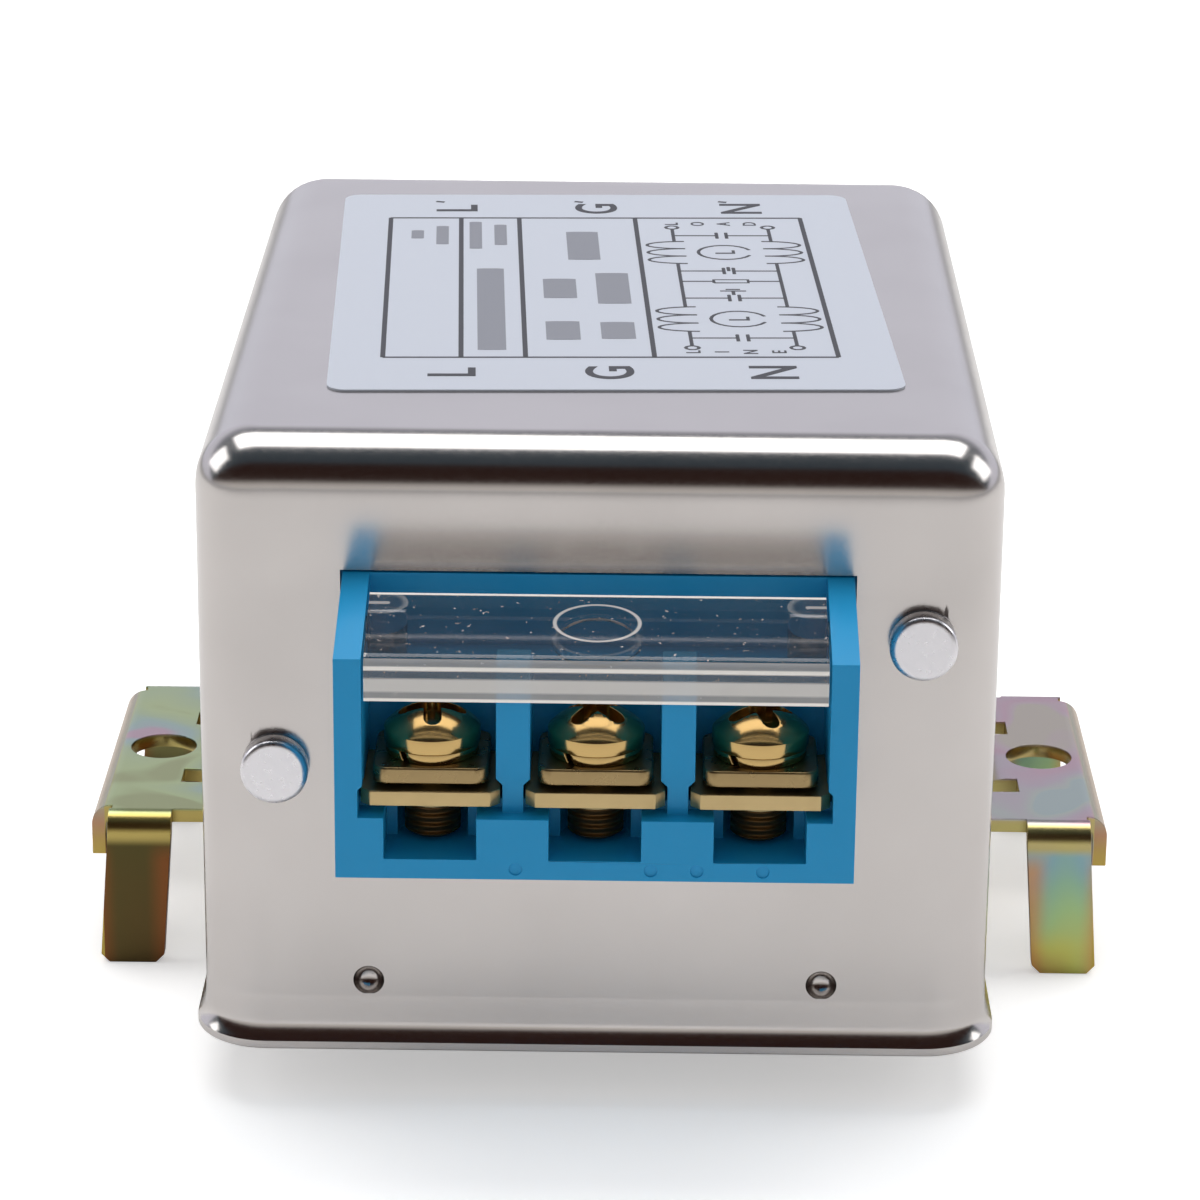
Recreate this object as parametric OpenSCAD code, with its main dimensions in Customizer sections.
// Chassis-mount EMI line filter in a drawn steel can, with a three-way
// barrier terminal block and a hinged clear cover at each end.
// Millimetres. Z up, X across the can, the front block faces -Y.
// The origin lies on the floor plane, below the middle of the can.

/* [Can] */
// Width of the drawn can
can_w = 51; // [50:0.5:58]
// Length of the drawn can
can_l = 69.5; // [66:0.5:90]
// Height of the drawn can
can_h = 41; // [40:0.1:50]
// Sheet thickness of the can
can_t = 0.7; // [0.5:0.05:0.9]
// Outer radius of the can's upright corners
corner_r = 4.2; // [4:0.1:6]
// Outer radius round the can's top edge
top_r = 3.8; // [2:0.1:3.9]
// How far the rim stands out at the can's mouth
rim_out = 0.3; // [0.1:0.05:0.6]
// Height of the rim at the can's mouth
rim_h = 3.6; // [2:0.1:4]
// Diameter of the dimples that lock the base plate
dimple_d = 2; // [1.6:0.1:2.6]
// Distance of each dimple from the middle of the can
dimple_x = 14.6; // [8:0.1:18]
// Height of the dimples above the can's mouth
dimple_z = 4.7; // [3.5:0.1:5]

/* [Base plate] */
// Sheet thickness of the base plate
base_t = 0.8; // [0.6:0.05:1.2]
// Height of the base plate's upturned flange
base_flange_h = 6.6; // [6.5:0.1:8]
// Gap between the base plate's flange and the can
base_gap = 0.1; // [0.05:0.05:0.2]

/* [Mounting bracket] */
// Height of the can's mouth above the floor
foot_drop = 4; // [4:0.1:8]
// Sheet thickness of the bracket
bracket_t = 1; // [0.8:0.1:1.2]
// Outer radius of the bracket's bends
bend_r = 1.5; // [1.2:0.05:1.6]
// Height of the ears' top faces above the can's mouth
ear_rise = 7; // [6:0.1:10]
// Length of an ear along the can, over its legs
ear_l = 26.6; // [24:0.5:30]
// Width of an ear, from its inner edge to the outer face of its lip
ear_w = 8.4; // [8:0.1:12]
// Gap between the can's long side and a riser
riser_gap = 0.7; // [0.5:0.1:1.5]
// Gap between the can's long side and an ear's inner edge
ear_gap = 1.4; // [0.8:0.1:1.6]
// Width of a riser
riser_w = 8.6; // [7:0.1:10]
// Outer radius of the bend between a riser and its ear
riser_bend_r = 2.6; // [2:0.1:2.8]
// Length of the relief notch beside a riser
notch_l = 2.5; // [1.5:0.1:3]
// Depth of the relief notch beyond the riser's bend
notch_depth = 0.7; // [0.2:0.1:0.9]
// Distance of a mounting hole from the outer face of its ear's lip
hole_inset = 3.9; // [3.8:0.1:4.2]
// Diameter of the mounting holes
hole_d = 4.7; // [4:0.1:4.8]
// Width of a leg
leg_w = 4.4; // [3.5:0.1:4.6]
// Distance of a leg's middle from the outer face of its ear's lip
leg_inset = 3.5; // [3.3:0.1:4]
// How far a leg's foot leans outwards
leg_lean = 0.7; // [0:0.1:1]
// Chamfer on the foot of a leg
leg_chamfer = 0.6; // [0.3:0.1:1]
// Length of an ear's outer lip
lip_l = 22.4; // [18:0.2:23]
// Height of an ear's outer lip
lip_h = 3.7; // [2.5:0.1:5]
// Width of the strap below the base plate
strap_w = 18; // [12:0.5:22]
// Distance of the strap's wide part from the can's long sides
strap_inset = 3; // [2:0.5:5]
// Distance of the strap's rivets from the middle of the can
strap_rivet_x = 14; // [10:0.5:18]
// Diameter of the strap's rivets
strap_rivet_d = 3; // [2.4:0.1:3.2]

/* [Terminal block] */
// Width of a terminal block
block_w = 32; // [31.8:0.1:33]
// Depth of a terminal block in front of the can
block_d = 9.4; // [9.2:0.1:11]
// Height of a terminal block where it meets the can
block_h = 16.7; // [16.4:0.1:18]
// Height of a terminal block at its front
block_front_h = 14.4; // [14.2:0.1:15]
// Height of a block's underside above the can's mouth
block_z = 15.9; // [15:0.1:17]
// Distance between the middles of neighbouring ways
way_pitch = 10.16; // [10:0.01:10.2]
// Thickness of the barriers between the ways
barrier_t = 2.1; // [1.9:0.05:2.2]
// Distance between the inner faces of the two end walls
end_wall_span = 28.6; // [28.4:0.1:28.8]
// Height of the floor in front of the terminal plates
floor_h = 4; // [3.8:0.1:4.2]
// Width of the pocket in the front of each way
pocket_w = 5.7; // [5.5:0.1:6]
// Height of the pocket's floor
pocket_z = 1.3; // [1:0.1:1.6]
// Depth of the pocket from the front
pocket_depth = 4; // [3:0.1:4.1]
// Diameter of the well below each screw
well_d = 4.4; // [4.2:0.1:4.8]
// Height of the well's floor
well_z = 1.3; // [1:0.1:1.6]
// Thickness of the wall behind the terminals
back_wall_t = 1.8; // [1.5:0.1:1.9]
// Height of the wall behind the terminals
back_wall_h = 12; // [11:0.1:12.1]
// Thickness of the flange inside the can
flange_t = 2; // [1.5:0.1:2.5]
// How far the flange overlaps the can around the block
flange_edge = 1.5; // [1:0.1:1.8]
// Clearance of a block in the can's window
window_gap = 0.15; // [0.1:0.05:0.3]
// Distance of the block's rivets from the middle of the can
rivet_x = 20.4; // [20.2:0.1:20.8]
// Half the height between the block's two rivets
rivet_dz = 4.4; // [3.5:0.1:5]
// Height of the rivets' midpoint above the can's mouth
rivet_mid_z = 23.95; // [23:0.05:25]
// Shank diameter of the block's rivets
rivet_d = 3; // [2.6:0.1:3.2]
// Head diameter of the block's rivets
rivet_head_d = 4.3; // [4:0.1:5]
// Head height of the block's rivets
rivet_head_h = 1.4; // [1:0.1:1.6]

/* [Terminals] */
// Width of a terminal plate
plate_w = 8.6; // [8.2:0.1:8.7]
// Thickness of a terminal plate
plate_t = 1; // [0.8:0.05:1.1]
// Height of the ledges that carry a terminal plate
plate_z = 4.6; // [4.5:0.05:4.8]
// Gap between a terminal plate's front edge and the block's front
plate_setback = 0.5; // [0.3:0.05:1]
// Width of a terminal plate's tag inside the can
tag_w = 4; // [3.6:0.1:4.4]
// How far a tag reaches behind the can's front face
tag_reach = 6.5; // [6:0.1:7]
// Width of a square clamp washer
clamp_w = 7.1; // [6:0.1:7.4]
// Length of a clamp washer, from front to back
clamp_l = 6.7; // [6:0.1:6.7]
// Thickness of a clamp washer
clamp_t = 1.1; // [0.8:0.1:1.2]
// Gap between a terminal plate and its clamp washer
clamp_gap = 0.3; // [0.2:0.1:0.6]
// Outer diameter of a spring washer
spring_d = 5.8; // [5:0.1:6]
// Thickness of a spring washer
spring_t = 0.7; // [0.5:0.1:0.8]
// Thread diameter of a terminal screw
screw_d = 3.5; // [3:0.1:3.6]
// Head diameter of a terminal screw
screw_head_d = 6; // [5.4:0.1:6.4]
// Head height of a terminal screw
screw_head_h = 2.3; // [2:0.1:2.4]
// Width of the screws\' cross recess
cross_w = 4.2; // [3:0.1:4.4]
// Width of one slot of the cross recess
cross_t = 1.1; // [0.7:0.05:1.3]
// Depth of the cross recess
cross_depth = 1.3; // [0.8:0.1:1.5]
// Length of a terminal screw below its head
screw_l = 5.8; // [5.2:0.1:5.9]
// Distance of the screws behind the block's front
screw_setback = 4.2; // [4.1:0.1:4.3]
// Running clearance round screws, rivets and tags
fit_gap = 0.05; // [0.03:0.01:0.1]

/* [Cover] */
// Wall thickness of a cover
cover_t = 0.9; // [0.7:0.05:1]
// Height of a cover's front lip
cover_lip_h = 2.7; // [2.2:0.1:3]
// Gap between a cover and the end walls
cover_gap = 0.15; // [0.1:0.05:0.2]
// Distance of a cover's rear edge from the can
cover_rear = 2.2; // [2.1:0.1:2.3]
// Radius of a cover's hinge boss
boss_r = 1.5; // [1.3:0.1:1.5]
// Length of a cover's hinge boss
boss_l = 2.4; // [2:0.1:3]
// Diameter of a cover's hinge pin
pin_d = 1.6; // [1.3:0.05:1.6]
// Length of a cover's hinge pin
pin_l = 1.2; // [1:0.05:1.3]
// Height of the hinge axis above the block's underside
hinge_z = 14.3; // [14.2:0.05:14.4]
// Radius of the plain ring moulded in a cover
ring_r = 2.8; // [2:0.1:3]

/* [Label] */
// Width of the label
label_w = 37.4; // [30:0.2:40]
// Length of the label
label_l = 50; // [40:0.5:58]
// Thickness of the label
label_t = 0.12; // [0.08:0.01:0.2]
// Corner radius of the label
label_r = 1.3; // [0.5:0.1:3]
// Turn of the label on the can
label_turn = 2.3; // [0:0.1:3]
// Distance of the label's middle behind the can's middle
label_back = 2; // [0:0.5:3]

/* [Inside] */
// Gap between the circuit board and the base plate's flange
board_gap = 0.6; // [0.4:0.1:1]
// Thickness of the circuit board
board_t = 1.6; // [1:0.1:2]
// Height of the standoffs below the circuit board
standoff_h = 5; // [4.5:0.1:5.5]
// Distance of the standoffs from the circuit board's edges
standoff_inset = 4.4; // [4.2:0.1:4.6]
// Outer diameter of a choke core
core_d = 26; // [24:0.5:27]
// Bore of a choke core
core_bore = 13; // [12:0.5:14]
// Thickness of a choke core
core_t = 7; // [6:0.5:8]
// Gap between a choke's winding and its box capacitor
choke_gap = 0.8; // [0.5:0.1:1.5]
// Wire diameter of a choke winding
wire_d = 1.2; // [0.8:0.1:1.3]
// Turns in each choke winding
winding_turns = 9; // [6:1:10]
// Width of a box capacitor
box_cap_w = 26; // [20:0.5:30]
// Depth of a box capacitor
box_cap_d = 7; // [5:0.5:7]
// Height of a box capacitor
box_cap_h = 12; // [9:0.5:13]
// Gap between a box capacitor and the lead wires
box_cap_gap = 0.9; // [0.5:0.1:1.5]
// Diameter of a disc capacitor
disc_cap_d = 7.8; // [6:0.1:8]
// Thickness of a disc capacitor
disc_cap_t = 3.4; // [2.5:0.1:4]
// Distance of the disc capacitors from the circuit board's long edges
disc_cap_inset = 0.9; // [0.4:0.1:1.2]
// Body length of the bleed resistor
resistor_l = 9; // [7:0.5:10]
// Body diameter of the bleed resistor
resistor_d = 3.4; // [2.5:0.1:4]
// Thread diameter of a board screw
board_screw_d = 3; // [2.5:0.1:3]
// Head diameter of a board screw
board_head_d = 5; // [4.6:0.1:5.2]
// Head height of a board screw
board_head_h = 1.4; // [1.2:0.1:1.5]

/* [Hidden] */
$fn = 48;
eps = 0.01;

STEEL = "#b9b5b0";
ZINC = "#8a8f6a";
BLUE = "#2278ae";
BRASS = "#c8a55a";
CLEAR = "#cfe3ec";

// Heights above the floor
base_top = foot_drop + base_t;
sheet_t = 0.3;
board_z = base_top + standoff_h;
board_top = board_z + board_t;
block_z0 = foot_drop + block_z;

// Room inside the can and inside the base plate's flange
in_w = can_w - 2 * can_t;
in_l = can_l - 2 * can_t;
tray_w = in_w - 2 * base_gap;
tray_l = in_l - 2 * base_gap;
tray_r = corner_r - can_t - base_gap;
bump_d = dimple_d + 0.2;
bump_l = dimple_d / 2 + 0.3 - can_t;

// Terminal block
barrier_x = way_pitch / 2;
end_wall_x = end_wall_span / 2;
roof_slope = (block_h - block_front_h) / block_d;
roof_a = atan(roof_slope);
roof_drop = cover_t / cos(roof_a);
barrier_setback = cover_t + 0.3;
barrier_gap = 0.25;
slot_gap = 0.13;
slot_relief = 0.9;
mark_x = [-0.48 * way_pitch, 0.34 * way_pitch, 0.62 * way_pitch, 1.02 * way_pitch];
mark_z = 0.7;
mark_d = 0.8;
mark_depth = 0.12;
slot_w = plate_w + 2 * slot_gap;
tag_slot_gap = 0.1;
screw_y = screw_setback - block_d;
collar_d = 4;
collar_h = 0.8;
tag_hole_y = tag_reach - 1.6;

// Stack on a terminal plate
clamp_z = plate_z + plate_t + clamp_gap;
spring_z = clamp_z + clamp_t;
head_z = spring_z + spring_t;

// Hinge of a cover
hinge_y = -cover_rear - boss_r;
swing_r = norm([boss_r, roof(-cover_rear) - hinge_z]) + 0.15;

// Bracket
riser_x = can_w / 2 + riser_gap;
riser_end = riser_x + riser_bend_r;
ear_in = can_w / 2 + ear_gap;
ear_out = ear_in + ear_w;
hole_x = ear_out - hole_inset;
leg_x = ear_out - leg_inset;
ear_top = foot_drop + ear_rise;
flat_l = ear_l - 2 * bend_r;
strap_rivet_y = strap_w / 4;
rivet_flat_h = 0.3 * strap_rivet_d;
strap_head_d = 5 / 3 * strap_rivet_d;

// Electrical parts
board_w = tray_w - 2 * base_t - 2 * board_gap;
board_l = tray_l - 2 * base_t - 2 * board_gap;
standoff_x = board_w / 2 - standoff_inset;
standoff_y = board_l / 2 - standoff_inset;
standoff_d = 6;
board_hole_d = board_screw_d + 0.2;
core_z = board_top + wire_d + 0.4 + core_d / 2;
divider_t = 1;
lead_d = 1.2;
lead_y = can_l / 2 - tag_hole_y;
cap_lead_d = 0.8;
box_cap_y = lead_y - lead_d / 2 - box_cap_gap - box_cap_d / 2;
choke_y = box_cap_y - box_cap_d / 2 - choke_gap - wire_d - core_t / 2 - 0.2;
disc_cap_x = board_w / 2 - disc_cap_inset - disc_cap_d / 2;

// ---------- shared shapes ----------

function roof(y) = block_h + roof_slope * y;

module round_rect(w, l, r) {
    square([w - 2 * r, l], center = true);
    square([w, l - 2 * r], center = true);
    for (x = [-1, 1], y = [-1, 1]) translate([x * (w / 2 - r), y * (l / 2 - r)]) circle(r);
}

// Quarter of a bent sheet, about the bend's own centre, from +X to +Y
module bend(r, t) {
    intersection() {
        difference() {
            circle(r);
            circle(r - t);
        }
        square(r);
    }
}

// Turns an outline drawn as (y, z) into a slab of width w, centred on x
module slab(w, x = 0) {
    translate([x - w / 2, 0, 0]) rotate([90, 0, 90]) linear_extrude(w) children();
}

// Turns an outline drawn as (x, z) into a slab of length l, centred on y
module strip(l, y = 0) {
    translate([0, y + l / 2, 0]) rotate([90, 0, 0]) linear_extrude(l) children();
}

module at_front() {
    translate([0, -can_l / 2, block_z0]) children();
}

module at_rear() {
    rotate([0, 0, 180]) at_front() children();
}

// ---------- can ----------

// Section of the can's wall, outwards from the axis of a corner
module can_section() {
    crown_r = corner_r - top_r;
    difference() {
        union() {
            square([corner_r, can_h - top_r]);
            square([crown_r + eps, can_h]);
            translate([crown_r, can_h - top_r]) circle(top_r);
        }
        translate([-top_r * 2, 0]) square([top_r * 2, can_h]);
        translate([-eps, -eps]) square([corner_r - can_t + eps, can_h - top_r + eps]);
        translate([-eps, -eps]) square([crown_r + eps, can_h - can_t + eps]);
        translate([crown_r, can_h - top_r]) circle(top_r - can_t);
    }
    polygon([
        [corner_r - can_t, 0], [corner_r + rim_out / 3, 0], [corner_r + rim_out, 0.5],
        [corner_r + rim_out, rim_h - 1.2], [corner_r, rim_h], [corner_r - can_t, rim_h]
    ]);
}

module can_shell() {
    cx = can_w / 2 - corner_r;
    cy = can_l / 2 - corner_r;
    for (side = [0, 180]) rotate(side) {
        translate([cx, cy, 0]) rotate_extrude(angle = 90) can_section();
        translate([-cx, cy, 0]) rotate(90) rotate_extrude(angle = 90) can_section();
        translate([cx, 0, 0]) strip(2 * cy) can_section();
        translate([0, cy, 0]) rotate(90) strip(2 * cx) can_section();
    }
    translate([-cx, -cy, can_h - can_t]) cube([2 * cx, 2 * cy, can_t]);
}

module rivet_places() {
    for (s = [-1, 1]) translate([s * rivet_x, 0, rivet_mid_z - block_z + s * rivet_dz]) children();
}

module can() {
    color(STEEL) {
        difference() {
            union() {
                translate([0, 0, foot_drop]) can_shell();
                dimple_places() translate([0, 0, can_t - 0.2]) cylinder(d = bump_d, h = 0.2 + bump_l);
            }
            dimple_places() sphere(d = dimple_d);
            for (turn = [0, 180]) rotate(turn) at_front() {
                translate([-block_w / 2 - window_gap, -1, -window_gap])
                    cube([block_w + 2 * window_gap, can_t + 2, block_h + 2 * window_gap]);
                rivet_places() rotate([-90, 0, 0])
                    translate([0, 0, -1]) cylinder(d = rivet_d + 2 * fit_gap, h = can_t + 2);
            }
        }
    }
}

// The dimples' places on the can's outer face, with +Z going inwards
module dimple_places() {
    for (turn = [0, 180], s = [-1, 1]) rotate(turn)
        translate([s * dimple_x, -can_l / 2, foot_drop + dimple_z]) rotate([-90, 0, 0]) children();
}

// ---------- base plate and bracket ----------

module base_plate() {
    color(STEEL) difference() {
        translate([0, 0, foot_drop]) linear_extrude(base_flange_h) round_rect(tray_w, tray_l, tray_r);
        translate([0, 0, base_top]) linear_extrude(base_flange_h)
            round_rect(tray_w - 2 * base_t, tray_l - 2 * base_t, tray_r - base_t);
        dimple_places() cylinder(d = bump_d + 2 * fit_gap, h = can_t + base_gap + base_t + 1);
        strap_rivet_places() translate([0, 0, -1])
            cylinder(d = strap_rivet_d + 2 * fit_gap, h = base_t + 2);
    }
}

module strap_rivet_places() {
    for (x = [-1, 1], y = [-1, 1])
        translate([x * strap_rivet_x, y * strap_rivet_y, foot_drop]) children();
}

// Ear with two legs and an outer lip, at +X
module ear() {
    leg_bend_y = flat_l / 2;
    flat_out = ear_out - bend_r;
    difference() {
        translate([ear_in, -leg_bend_y, ear_top - bracket_t])
            cube([flat_out - ear_in, 2 * leg_bend_y, bracket_t]);
        translate([hole_x, 0, ear_top - bracket_t - 1]) cylinder(d = hole_d, h = bracket_t + 2);
        // Room for the riser, and a relief notch on each side of it
        translate([ear_in - 1, -riser_w / 2, foot_drop])
            cube([riser_end - ear_in + 1, riser_w, ear_rise + 1]);
        for (s = [-1, 1]) translate([ear_in - 1, s * (riser_w + notch_l) / 2 - notch_l / 2, foot_drop])
            cube([riser_end + notch_depth - ear_in + 1, notch_l, ear_rise + 1]);
    }
    // Outer lip
    strip(lip_l) {
        translate([flat_out, ear_top - bend_r]) bend(bend_r, bracket_t);
        translate([ear_out - bracket_t, ear_top - lip_h]) square([bracket_t, lip_h - bend_r]);
    }
    for (s = [0, 1]) mirror([0, s, 0]) leg();
}

// Leg of the ear at +X, which stands on the floor and leans outwards
module leg() {
    slab(leg_w, leg_x) translate([flat_l / 2, ear_top - bend_r]) bend(bend_r, bracket_t);
    a = leg_x - leg_w / 2;
    b = leg_x + leg_w / 2;
    top = ear_top - bend_r;
    foot = leg_chamfer * (1 - leg_lean / top);
    translate([0, ear_l / 2, 0]) rotate([90, 0, 0]) linear_extrude(bracket_t) polygon([
        [a, top], [a + leg_lean - leg_lean * leg_chamfer / top, leg_chamfer], [a + leg_lean + foot, 0],
        [b + leg_lean - leg_chamfer, 0], [b + leg_lean - leg_lean * leg_chamfer / top, leg_chamfer], [b, top]
    ]);
}

// Riser between the strap and an ear, at +X
module riser() {
    strip(riser_w) {
        translate([riser_end, ear_top - riser_bend_r]) rotate(90) bend(riser_bend_r, bracket_t);
        translate([riser_x, foot_drop - bracket_t + bend_r])
            square([bracket_t, ear_rise + bracket_t - bend_r - riser_bend_r]);
        translate([riser_x + bracket_t - bend_r, foot_drop - bracket_t + bend_r])
            rotate(-90) bend(bend_r, bracket_t);
    }
}

module mounting_bracket() {
    strap_x = riser_x + bracket_t - bend_r;
    color(ZINC) {
        for (turn = [0, 180]) rotate(turn) {
            ear();
            riser();
        }
        difference() {
            translate([0, 0, foot_drop - bracket_t]) linear_extrude(bracket_t) {
                square([2 * strap_x, riser_w], center = true);
                square([can_w - 2 * strap_inset, strap_w], center = true);
            }
            strap_rivet_places() translate([0, 0, -bracket_t - 1])
                cylinder(d = strap_rivet_d + 2 * fit_gap, h = bracket_t + 2);
        }
    }
}

module bracket_rivets() {
    color(STEEL) strap_rivet_places() {
        translate([0, 0, -bracket_t]) cylinder(d = strap_rivet_d, h = bracket_t + base_t);
        translate([0, 0, base_t]) cylinder(d1 = strap_head_d, d2 = strap_rivet_d, h = rivet_flat_h);
        translate([0, 0, -bracket_t - rivet_flat_h])
            cylinder(d1 = strap_rivet_d, d2 = strap_head_d, h = rivet_flat_h);
    }
}

// ---------- label ----------

module label() {
    color("#cdd2de") translate([0, label_back, foot_drop + can_h]) rotate(label_turn)
        linear_extrude(label_t) round_rect(label_w, label_l, label_r);
}

// ---------- terminal block, seen from the front ----------

module ways() {
    for (n = [-1, 0, 1]) translate([n * way_pitch, 0, 0]) children();
}

module end_walls() {
    wall_t = block_w / 2 - end_wall_x;
    for (s = [-1, 1]) difference() {
        slab(wall_t, s * (end_wall_x + wall_t / 2))
            polygon([[0, 0], [-block_d, 0], [-block_d, block_front_h], [0, block_h]]);
        translate([s * (end_wall_x - 1), hinge_y, hinge_z]) rotate([0, s * 90, 0])
            cylinder(d = pin_d + 2 * fit_gap, h = 1 + pin_l + 0.1);
    }
}

module barriers() {
    y0 = -block_d + barrier_setback;
    for (s = [-1, 1]) slab(barrier_t, s * barrier_x) difference() {
        polygon([
            [0, 0], [y0, 0], [y0, roof(y0) - roof_drop - barrier_gap],
            [hinge_y, roof(hinge_y) - roof_drop - barrier_gap], [hinge_y, back_wall_h], [0, back_wall_h]
        ]);
        // Room for the cover's rear edge as it swings
        translate([hinge_y, hinge_z]) circle(swing_r);
    }
}

// Flange behind the can's wall, with an ear for each rivet
module block_flange() {
    ear_r = 3.2;
    intersection() {
        translate([0, can_t + flange_t, 0]) rotate([90, 0, 0]) linear_extrude(flange_t) {
            translate([-block_w / 2 - flange_edge, -flange_edge])
                square([block_w + 2 * flange_edge, block_h + 2 * flange_edge]);
            for (s = [-1, 1]) {
                z = rivet_mid_z - block_z + s * rivet_dz;
                translate([s * rivet_x, z]) circle(ear_r);
                translate([min(s * rivet_x, 0), z - ear_r]) square([rivet_x, 2 * ear_r]);
            }
        }
        // The ears follow the rounded corners inside the can
        translate([0, can_l / 2, -block_z]) linear_extrude(can_h)
            round_rect(in_w - 2 * base_gap, in_l, corner_r - can_t);
    }
}

module terminal_block() {
    color(BLUE) difference() {
        union() {
            translate([-block_w / 2, -block_d, 0]) cube([block_w, block_d, floor_h]);
            translate([-end_wall_x, -back_wall_t, 0]) cube([2 * end_wall_x, back_wall_t, back_wall_h]);
            end_walls();
            barriers();
            translate([-block_w / 2, 0, 0]) cube([block_w, can_t, block_h]);
            block_flange();
            // Ledges that carry the terminal plates
            ways() for (s = [-1, 1]) translate([s * (pocket_w + slot_w) / 4, 0, 0])
                translate([-(slot_w - pocket_w) / 4, -block_d + barrier_setback + slot_relief, floor_h])
                cube([(slot_w - pocket_w) / 2, block_d - barrier_setback - slot_relief, plate_z - floor_h]);
        }
        ways() {
            // Side slots for a terminal plate, open to the front
            translate([-slot_w / 2, -block_d - 1, plate_z])
                cube([slot_w, block_d + 1 - back_wall_t, plate_t + 0.2]);
            translate([-slot_w / 2, -block_d - 1, floor_h])
                cube([slot_w, 1 + barrier_setback + slot_relief, plate_z - floor_h + eps]);
            // Slot that the tag passes through
            translate([-tag_w / 2 - tag_slot_gap, -back_wall_t - 1, plate_z])
                cube([tag_w + 2 * tag_slot_gap, back_wall_t + can_t + flange_t + 2, plate_t + tag_slot_gap]);
            // Pocket in the front, and the well round the screw's end
            translate([-pocket_w / 2, -block_d - 1, pocket_z])
                cube([pocket_w, pocket_depth + 1, floor_h]);
            translate([0, screw_y, well_z]) cylinder(d = well_d, h = plate_z);
            // Tapered top of the side slots
            translate([0, -block_d + barrier_setback + slot_relief, plate_z + plate_t])
                rotate([90, 0, 0]) linear_extrude(1 + barrier_setback + slot_relief) polygon([
                    [-slot_w / 2, 0], [slot_w / 2, 0], [slot_w / 2, 0.2],
                    [slot_w / 2 - 0.5, 0.7], [-slot_w / 2 + 0.5, 0.7], [-slot_w / 2, 0.2]
                ]);
        }
        // Shallow round marks of the mould
        for (x = mark_x) translate([x, -block_d, mark_z]) rotate([90, 0, 0])
            cylinder(d = mark_d, h = 2 * mark_depth, center = true);
        rivet_places() rotate([-90, 0, 0]) cylinder(d = rivet_d + 2 * fit_gap, h = can_t + flange_t + 1);
    }
}

module block_rivets() {
    inner_y = can_t + flange_t;
    color("#c4c4c6") rivet_places() rotate([-90, 0, 0]) {
        translate([0, 0, 0]) cylinder(d = rivet_d, h = inner_y);
        rotate([180, 0, 0]) rotate_extrude() {
            square([rivet_head_d / 2, rivet_head_h - 0.4]);
            square([rivet_head_d / 2 - 0.4, rivet_head_h]);
            translate([rivet_head_d / 2 - 0.4, rivet_head_h - 0.4]) circle(0.4);
        }
        translate([0, 0, inner_y]) cylinder(d1 = rivet_head_d, d2 = rivet_d, h = 1);
    }
}

// ---------- terminals ----------

module terminal_plate(way) {
    chamfer = 0.6;
    front_y = -block_d + plate_setback;
    color(BRASS) translate([way * way_pitch, 0, plate_z]) difference() {
        union() {
            linear_extrude(plate_t) {
                polygon([
                    [-plate_w / 2, -back_wall_t - 0.1], [-plate_w / 2, front_y + chamfer],
                    [-plate_w / 2 + chamfer, front_y], [plate_w / 2 - chamfer, front_y],
                    [plate_w / 2, front_y + chamfer], [plate_w / 2, -back_wall_t - 0.1]
                ]);
                translate([-tag_w / 2, -back_wall_t - 1]) square([tag_w, back_wall_t + 1 + tag_reach]);
            }
            translate([0, screw_y, -collar_h]) cylinder(d = collar_d, h = collar_h + eps);
        }
        translate([0, screw_y, -collar_h - 1]) cylinder(d = screw_d + 2 * fit_gap, h = plate_t + collar_h + 2);
        translate([0, tag_hole_y, -1]) cylinder(d = lead_d + 2 * fit_gap, h = plate_t + 2);
    }
}

module clamp_washers() {
    color(BRASS) ways() translate([0, screw_y, clamp_z]) difference() {
        linear_extrude(clamp_t) round_rect(clamp_w, clamp_l, 0.9);
        translate([0, 0, -1]) cylinder(d = screw_d + 0.3, h = clamp_t + 2);
    }
}

// Split ring, cut at a slant
module spring_washers() {
    color(BRASS) ways() translate([0, screw_y, spring_z]) difference() {
        cylinder(d = spring_d, h = spring_t);
        translate([0, 0, -1]) cylinder(d = screw_d + 0.2, h = spring_t + 2);
        rotate(-125) translate([spring_d / 2, 0, spring_t / 2]) rotate([25, 0, 0])
            cube([spring_d, 0.35, spring_t * 4], center = true);
    }
}

module terminal_screws() {
    turns = [3, -40, -68];
    edge_h = 0.9;
    dome_h = screw_head_h - edge_h;
    half_w = screw_head_d / 2;
    dome_r = (half_w * half_w + dome_h * dome_h) / (2 * dome_h);
    color(BRASS) for (n = [-1, 0, 1]) translate([n * way_pitch, screw_y, head_z]) rotate(turns[n + 1]) {
        translate([0, 0, -screw_l]) cylinder(d = screw_d, h = screw_l);
        translate([0, 0, -screw_l - 0.3]) cylinder(d1 = screw_d - 0.9, d2 = screw_d, h = 0.3);
        difference() {
            union() {
                cylinder(d = screw_head_d, h = edge_h);
                intersection() {
                    translate([0, 0, screw_head_h - dome_r]) sphere(dome_r);
                    translate([0, 0, edge_h]) cylinder(d = screw_head_d, h = dome_h + 1);
                }
            }
            for (a = [0, 90]) rotate(a) translate([0, 0, screw_head_h]) {
                cube([cross_w - cross_t, cross_t, 2 * cross_depth], center = true);
                for (s = [-1, 1]) translate([s * (cross_w - cross_t) / 2, 0, 0])
                    cylinder(d = cross_t, h = 2 * cross_depth, center = true);
            }
        }
    }
}

// ---------- cover ----------

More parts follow.
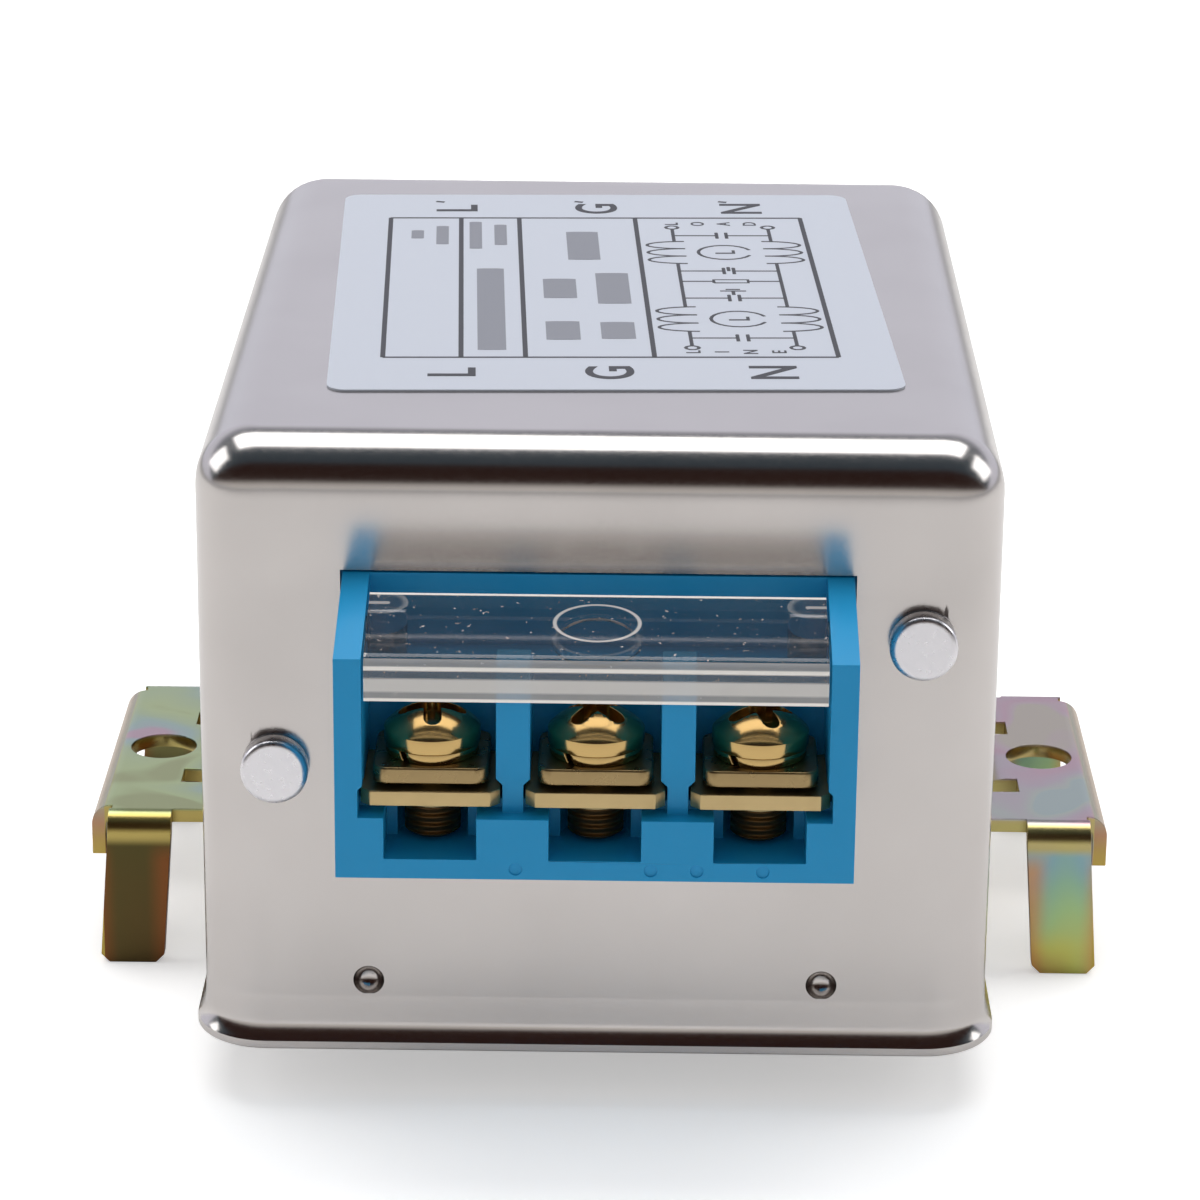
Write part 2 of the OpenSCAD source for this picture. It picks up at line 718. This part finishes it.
module cover_outline() {
    arc_y = -block_d + cover_t;
    arc_z = roof(arc_y) - roof_drop;
    tan_y = arc_y - cover_t * sin(roof_a);
    polygon([
        [-cover_rear, roof(-cover_rear)], [tan_y, roof(tan_y)], [arc_y, arc_z],
        [-cover_rear, roof(-cover_rear) - roof_drop]
    ]);
    intersection() {
        translate([arc_y, arc_z]) circle(cover_t);
        translate([-block_d, arc_z - eps]) square(cover_t + eps);
    }
    translate([-block_d, block_front_h - cover_lip_h])
        square([cover_t, arc_z - block_front_h + cover_lip_h]);
}

module cover() {
    half_w = end_wall_x - cover_gap;
    color(CLEAR, 0.4) {
        slab(2 * half_w) cover_outline();
        for (s = [-1, 1]) {
            // Hinge boss below the rear corner, rounded at its inner end
            intersection() {
                slab(boss_l, s * (half_w - boss_l / 2)) {
                    translate([hinge_y, hinge_z]) circle(boss_r);
                    polygon([
                        [hinge_y - boss_r, hinge_z], [hinge_y + boss_r, hinge_z],
                        [hinge_y + boss_r, roof(hinge_y + boss_r) - roof_drop / 2],
                        [hinge_y - boss_r, roof(hinge_y - boss_r) - roof_drop / 2]
                    ]);
                }
                translate([s * (half_w - boss_l + boss_r), hinge_y, 0]) linear_extrude(block_h) {
                    circle(boss_r);
                    translate([s > 0 ? 0 : -boss_l, -boss_r]) square([boss_l, 2 * boss_r]);
                }
            }
            translate([s * (half_w - eps), hinge_y, hinge_z]) rotate([0, s * 90, 0])
                cylinder(d = pin_d, h = pin_l + eps);
        }
        // Plain ring on the underside
        translate([0, -block_d / 2 - 0.8, roof(-block_d / 2 - 0.8) - roof_drop]) rotate([roof_a, 0, 0])
            difference() {
                translate([0, 0, -0.2]) cylinder(r = ring_r, h = 0.3);
                translate([0, 0, -1]) cylinder(r = ring_r - 0.4, h = 2);
            }
    }
}

// ---------- inside ----------

module insulating_sheet() {
    color("#d9d4bf") translate([0, 0, base_top]) difference() {
        linear_extrude(sheet_t) round_rect(board_w, board_l, 2);
        standoff_places() translate([0, 0, -1]) cylinder(d = standoff_d + 0.8, h = sheet_t + 2);
        for (x = [-1, 1], y = [-1, 1]) translate([x * strap_rivet_x, y * strap_rivet_y, -1])
            cylinder(d = strap_head_d + 0.6, h = sheet_t + 2);
    }
}

module standoff_places() {
    for (x = [-1, 1], y = [-1, 1]) translate([x * standoff_x, y * standoff_y, 0]) children();
}

module board_standoffs() {
    color(BRASS) standoff_places() translate([0, 0, base_top]) difference() {
        cylinder(d = standoff_d, h = standoff_h, $fn = 6);
        translate([0, 0, 1]) cylinder(d = board_screw_d + 2 * fit_gap, h = standoff_h);
    }
}

module board_screws() {
    grip = standoff_h - 2;
    color(BRASS) standoff_places() translate([0, 0, board_top]) {
        translate([0, 0, -board_t - grip]) cylinder(d = board_screw_d, h = board_t + grip);
        difference() {
            cylinder(d1 = board_head_d, d2 = 0.85 * board_head_d, h = board_head_h);
            translate([0, 0, board_head_h])
                cube([2 * board_head_d, board_screw_d / 4, board_head_h], center = true);
        }
    }
}

module circuit_board() {
    color("#2f6b3a") translate([0, 0, board_z]) difference() {
        linear_extrude(board_t) round_rect(board_w, board_l, 1.5);
        standoff_places() translate([0, 0, -1]) cylinder(d = board_hole_d, h = board_t + 2);
        for (turn = [0, 180], n = [-1, 0, 1]) rotate(turn) translate([n * way_pitch, -lead_y, -1])
            cylinder(d = lead_d + 2 * fit_gap, h = board_t + 2);
    }
}

module lead_wires() {
    lead_top = plate_z + plate_t + 0.8;
    color("#c9c9c9") ways() translate([0, tag_hole_y, board_z - block_z0 - 0.6])
        cylinder(d = lead_d, h = lead_top - board_z + block_z0 + 0.6);
}

// The front choke's place; the rear one is the same, turned half round
module choke_place(s) {
    rotate(s > 0 ? 180 : 0) translate([0, -choke_y, core_z]) children();
}

// Coated ring core, its axis along Y
module choke_core() {
    r = 1;
    color("#4a6b4e") rotate([90, 0, 0]) rotate_extrude()
        translate([(core_d + core_bore) / 4, 0]) round_rect((core_d - core_bore) / 2, core_t, r);
}

// Board that keeps the two windings apart in the core's bore
module choke_divider() {
    color("#c9b98a") cube([divider_t, core_t + 2 * wire_d, core_bore - 0.6], center = true);
}

// Point on the wire's middle line after t turns round the core, s = side
function turn_point(t, s) =
    let (
        sweep = 122,
        a = (t / winding_turns - 0.5) * sweep + (s > 0 ? 0 : 180),
        half_r = (core_d - core_bore) / 4 + wire_d / 2 + 0.1,
        half_y = core_t / 2 + wire_d / 2 + 0.1,
        c = 1,
        k = round(t * 8) % 8,
        u = [half_r, half_r - c, c - half_r, -half_r, -half_r, c - half_r, half_r - c, half_r][k],
        v = [half_y - c, half_y, half_y, half_y - c, c - half_y, -half_y, -half_y, c - half_y][k],
        rad = (core_d + core_bore) / 4 + u
    )
    [rad * cos(a), v, rad * sin(a)];

function unit(v) = v / norm(v);

// Ring of six points round p, across the direction d
function wire_ring(p, d, r) =
    let (
        side = abs(d[1]) > 0.9 ? [1, 0, 0] : [0, 1, 0],
        e1 = unit(cross(d, side)),
        e2 = cross(d, e1)
    )
    [for (k = [0:5]) p + r * (cos(k * 60) * e1 + sin(k * 60) * e2)];

module wire_tube(path, r) {
    last = len(path) - 1;
    rings = [for (i = [0:last]) each wire_ring(
        path[i], unit(path[min(i + 1, last)] - path[max(i - 1, 0)]), r)];
    polyhedron(
        rings,
        concat(
            [[for (k = [5:-1:0]) k]],
            [for (i = [0:last - 1], k = [0:5])
                [6 * i + k, 6 * i + (k + 1) % 6, 6 * (i + 1) + (k + 1) % 6, 6 * (i + 1) + k]],
            [[for (k = [0:5]) 6 * last + k]]
        )
    );
}

// Coil on one half of a core, with both ends down to the board
module winding(s) {
    steps = winding_turns * 8;
    coil = [for (i = [0:steps]) turn_point(i / 8, s)];
    first = coil[0];
    last = coil[steps];
    drop = board_top - core_z;
    lead_out = core_t / 2 + 2 * wire_d + 0.5;
    ends = s > 0 ? [first, last] : [last, first];
    low = [[ends[0][0] + s * 0.8, ends[0][1] + 0.6, drop + 1.6], [ends[0][0] + s * 0.8, ends[0][1] + 0.6, drop]];
    high = [[ends[1][0], lead_out, ends[1][2] - 0.6], [ends[1][0], lead_out, drop]];
    path = s > 0
        ? concat([low[1], low[0]], coil, high)
        : concat([high[1], high[0]], coil, low);
    color("#b5651d") wire_tube(path, wire_d / 2 - 0.05);
}

module box_capacitor() {
    color("#e0b83a") translate([0, -box_cap_y, board_top]) {
        linear_extrude(box_cap_h) round_rect(box_cap_w, box_cap_d, 0.6);
    }
}

module disc_capacitor(x, y) {
    stand_off = 1.5;
    r = 1.2;
    color("#3d6fb0") translate([x * disc_cap_x, y * box_cap_y, board_top]) {
        translate([0, 0, stand_off + disc_cap_d / 2]) rotate([90, 0, 0]) rotate_extrude() {
            translate([0, -disc_cap_t / 2]) square([disc_cap_d / 2 - r, disc_cap_t]);
            translate([0, -disc_cap_t / 2 + r]) square([disc_cap_d / 2, disc_cap_t - 2 * r]);
            for (s = [-1, 1]) translate([disc_cap_d / 2 - r, s * (disc_cap_t / 2 - r)]) circle(r);
        }
        for (s = [-1, 1]) translate([s * 2.5, 0, 0]) cylinder(d = cap_lead_d, h = stand_off + 2);
    }
}

module bleed_resistor() {
    reach = resistor_l / 2 + 2.5;
    lift = resistor_d / 2 + 0.4;
    cap_l = resistor_l / 5;
    color("#c8a878") translate([0, 0, board_top + lift]) {
        rotate([0, 90, 0]) {
            cylinder(d = 0.85 * resistor_d, h = resistor_l, center = true);
            for (s = [-1, 1]) translate([0, 0, s * (resistor_l - cap_l) / 2])
                cylinder(d = resistor_d, h = cap_l, center = true);
            cylinder(d = cap_lead_d, h = 2 * reach, center = true);
        }
        for (s = [-1, 1]) translate([s * reach, 0, 0]) {
            sphere(d = cap_lead_d);
            translate([0, 0, -lift]) cylinder(d = cap_lead_d, h = lift);
        }
    }
}

// ---------- nodes ----------

can();
base_plate();
mounting_bracket();
bracket_rivets();
label();
at_front() terminal_block();  // front_terminal_block
at_rear() terminal_block();  // rear_terminal_block
at_front() block_rivets();  // front_block_rivets
at_rear() block_rivets();  // rear_block_rivets
at_front() terminal_plate(-1);  // front_line_plate
at_front() terminal_plate(0);  // front_ground_plate
at_front() terminal_plate(1);  // front_neutral_plate
at_rear() terminal_plate(1);  // rear_line_plate
at_rear() terminal_plate(0);  // rear_ground_plate
at_rear() terminal_plate(-1);  // rear_neutral_plate
at_front() clamp_washers();  // front_clamp_washers
at_rear() clamp_washers();  // rear_clamp_washers
at_front() spring_washers();  // front_spring_washers
at_rear() spring_washers();  // rear_spring_washers
at_front() terminal_screws();  // front_terminal_screws
at_rear() terminal_screws();  // rear_terminal_screws
at_front() cover();  // front_cover
at_rear() cover();  // rear_cover
insulating_sheet();
board_standoffs();
circuit_board();
board_screws();
choke_place(-1) choke_core();  // front_choke_core
choke_place(1) choke_core();  // rear_choke_core
choke_place(-1) choke_divider();  // front_choke_divider
choke_place(1) choke_divider();  // rear_choke_divider
choke_place(-1) winding(-1);  // front_line_winding
choke_place(-1) winding(1);  // front_neutral_winding
choke_place(1) winding(-1);  // rear_line_winding
choke_place(1) winding(1);  // rear_neutral_winding
box_capacitor();  // front_box_capacitor
rotate(180) box_capacitor();  // rear_box_capacitor
disc_capacitor(-1, -1);  // disc_capacitor_1
disc_capacitor(1, -1);  // disc_capacitor_2
disc_capacitor(-1, 1);  // disc_capacitor_3
disc_capacitor(1, 1);  // disc_capacitor_4
bleed_resistor();
at_front() lead_wires();  // front_lead_wires
at_rear() lead_wires();  // rear_lead_wires
